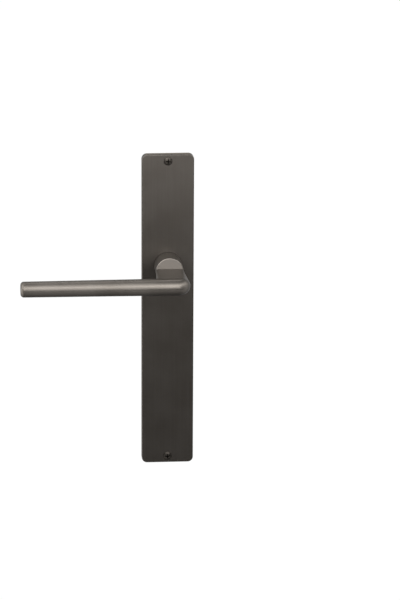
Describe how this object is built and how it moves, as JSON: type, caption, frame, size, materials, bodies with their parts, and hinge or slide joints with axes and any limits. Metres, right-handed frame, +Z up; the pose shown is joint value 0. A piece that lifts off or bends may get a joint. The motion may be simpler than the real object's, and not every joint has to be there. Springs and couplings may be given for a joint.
{
  "type": "lever door handle on backplate",
  "caption": "Lever door handle on a long rectangular backplate: a round bar on a stepped collar turns a square spindle against a return spring",
  "frame": {"origin": "On the spindle's axis, in the plane of the plate's back face, where it meets the door", "axes": "+Y into the door along the spindle, +Z up along the plate, the lever points along -X"},
  "size_m": [0.1315, 0.1257, 0.24],
  "materials": {
    "dark_bronze_plate": "dark bronze over brass, satin, faint brushing up and down",
    "dark_bronze_lever": "dark bronze over brass, satin, brushed along the bar",
    "dark_bronze_screw": "dark bronze over brass, turned head",
    "black_nylon": "moulded black nylon",
    "spring_wire": "drawn spring wire, lightly oiled",
    "zinc_steel": "zinc plated steel",
    "black_steel": "oil blackened spring steel"
  },
  "bodies": {
    "plate": {"backplate": "dark_bronze_plate", "neck_bush": "black_nylon", "return_spring": "spring_wire", "fixing_screws": "dark_bronze_screw"},
    "handle": {"lever": "dark_bronze_lever", "spindle": "zinc_steel", "grub_screw": "black_steel", "spring_driver": "zinc_steel", "circlip": "black_steel"}
  },
  "joints": [
    {"name": "lever_turn", "type": "hinge", "parent": "plate", "child": "handle", "pos_m": [0, 0, 0], "axis": [0, -1, 0], "range_deg": [0, 45], "stiffness_Nm_per_rad": 0.16, "springref_deg": -89.95, "deforming": ["return_spring"]}
  ]
}
